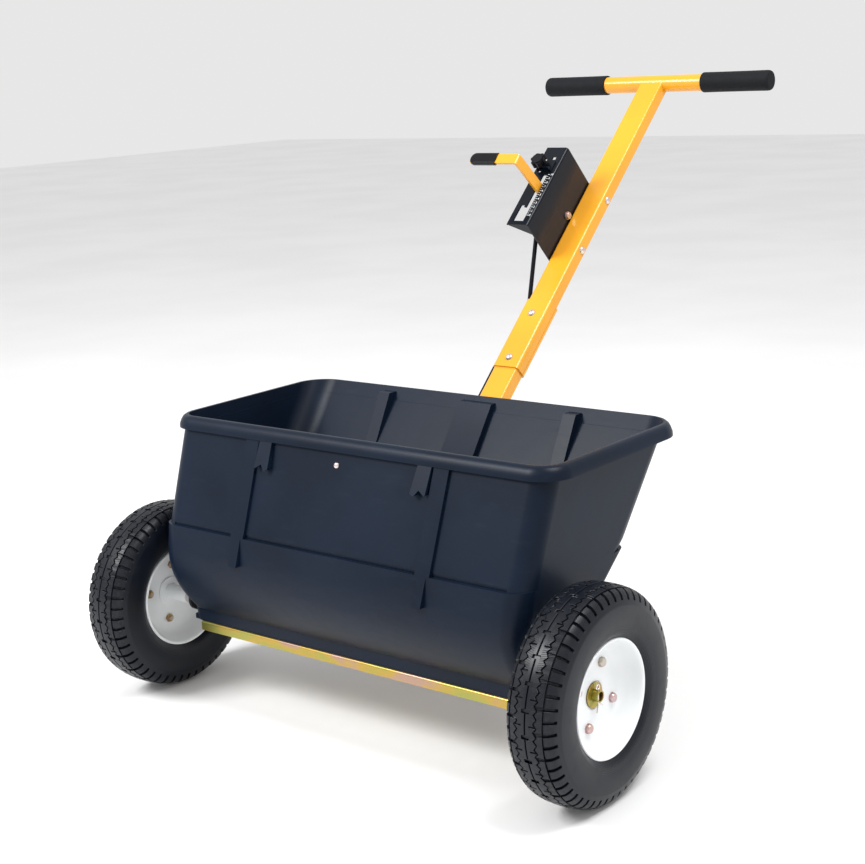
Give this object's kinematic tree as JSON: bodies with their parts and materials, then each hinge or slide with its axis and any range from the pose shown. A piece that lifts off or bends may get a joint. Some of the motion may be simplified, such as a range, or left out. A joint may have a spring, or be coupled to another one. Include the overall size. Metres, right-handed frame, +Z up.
{
  "type": "drop spreader",
  "caption": "Push drop spreader: open moulded hopper over an axle trough, two tyred wheels, sloping tube handle with T bar, rate lever and rear stand.",
  "frame": {"origin": "on the ground, under the middle of the footprint from the tyre fronts to the grip backs", "axes": "+X to the right wheel along the axle, +Y back towards the handle, +Z up"},
  "size_m": [0.992, 1.1361, 1.0241],
  "materials": {
    "hopper_plastic": "moulded, satin navy black",
    "yellow_paint": "gloss powder coat",
    "black_paint": "gloss",
    "white_paint": "gloss",
    "yellow_zinc": "iridescent yellow zinc",
    "bright_zinc": "bright zinc",
    "tyre": "moulded tread",
    "foam": "fine cell foam",
    "vinyl": "dipped vinyl",
    "nylon": "moulded nylon",
    "knob_plastic": "moulded",
    "rubber": "moulded"
  },
  "bodies": {
    "chassis": {"axle_bush_left": "nylon", "axle_bush_right": "nylon", "bottom_plate": "yellow_zinc", "bracket_bolts": "bright_zinc", "bracket_nuts": "bright_zinc", "control_bracket": "black_paint", "crossbar": "yellow_paint", "front_bolt": "bright_zinc", "front_nut": "bright_zinc", "grip_left": "foam", "grip_right": "foam", "hopper": "hopper_plastic", "hopper_bolts": "bright_zinc", "hopper_nuts": "bright_zinc", "lever_pivot": "bright_zinc", "lower_handle_tube": "yellow_paint", "plate_screws": "bright_zinc", "rear_bracket": "black_paint", "rear_bracket_bolts": "bright_zinc", "shutter_guides": "yellow_zinc", "splice_bolts": "bright_zinc", "splice_nuts": "bright_zinc", "splice_sleeve": "yellow_paint", "stand_bolts": "bright_zinc", "stand_foot": "rubber", "stand_leg": "black_paint", "stand_nuts": "bright_zinc", "upper_handle_tube": "yellow_paint"},
    "drive_axle": {"axle": "yellow_zinc", "agitator_pins": "bright_zinc", "drive_pin": "bright_zinc", "axle_washer_left": "yellow_zinc", "axle_washer_right": "yellow_zinc", "axle_spacer_left": "bright_zinc", "axle_spacer_right": "bright_zinc", "cotter_left": "bright_zinc", "cotter_right": "bright_zinc", "tyre_right": "tyre", "rim_outer_right": "white_paint", "rim_inner_right": "white_paint", "hub_right": "white_paint", "hub_bushes_right": "nylon", "wheel_bolts_right": "yellow_zinc", "wheel_nuts_right": "yellow_zinc"},
    "left_wheel": {"tyre_left": "tyre", "rim_outer_left": "white_paint", "rim_inner_left": "white_paint", "hub_left": "white_paint", "hub_bushes_left": "nylon", "wheel_bolts_left": "yellow_zinc", "wheel_nuts_left": "yellow_zinc"},
    "lever": {"lever": "yellow_paint", "lever_grip": "vinyl"},
    "control_rod": {"control_rod": "black_paint", "rod_clips": "bright_zinc"},
    "shutter": {"shutter": "yellow_zinc"},
    "rate_stop": {"rate_stop": "black_paint"},
    "rate_knob": {"rate_knob": "knob_plastic"}
  },
  "joints": [
    {"name": "axle_spin", "type": "hinge", "parent": "chassis", "child": "drive_axle", "pos_m": [0, -0.403, 0.165], "axis": [1, 0, 0], "continuous": true},
    {"name": "left_wheel_spin", "type": "hinge", "parent": "chassis", "child": "left_wheel", "pos_m": [-0.4505, -0.403, 0.165], "axis": [1, 0, 0], "continuous": true},
    {"name": "lever_swing", "type": "hinge", "parent": "chassis", "child": "lever", "pos_m": [-0.043, 0.26988, 0.7774], "axis": [-1, 0, 0], "range_deg": [-32.7, 11.3]},
    {"name": "rod_slide", "type": "slide", "parent": "chassis", "child": "control_rod", "axis": [0, 0.7329, 0.6804], "range_m": [-0.0275, 0.0095]},
    {"name": "shutter_slide", "type": "slide", "parent": "chassis", "child": "shutter", "axis": [0, 1, 0], "range_m": [-0.0202, 0.007]},
    {"name": "stop_slide", "type": "slide", "parent": "chassis", "child": "rate_stop", "axis": [0, 0.7329, 0.6804], "range_m": [-0.01, 0.016]},
    {"name": "knob_turn", "type": "hinge", "parent": "rate_stop", "child": "rate_knob", "pos_m": [-0.06, 0.23848, 0.87515], "axis": [0, -0.6804, 0.7329], "continuous": true}
  ],
  "couplings": [
    {"joint": "rod_slide", "follows": "lever_swing", "m_per_rad": 0.048},
    {"joint": "shutter_slide", "follows": "lever_swing", "m_per_rad": 0.035177}
  ]
}
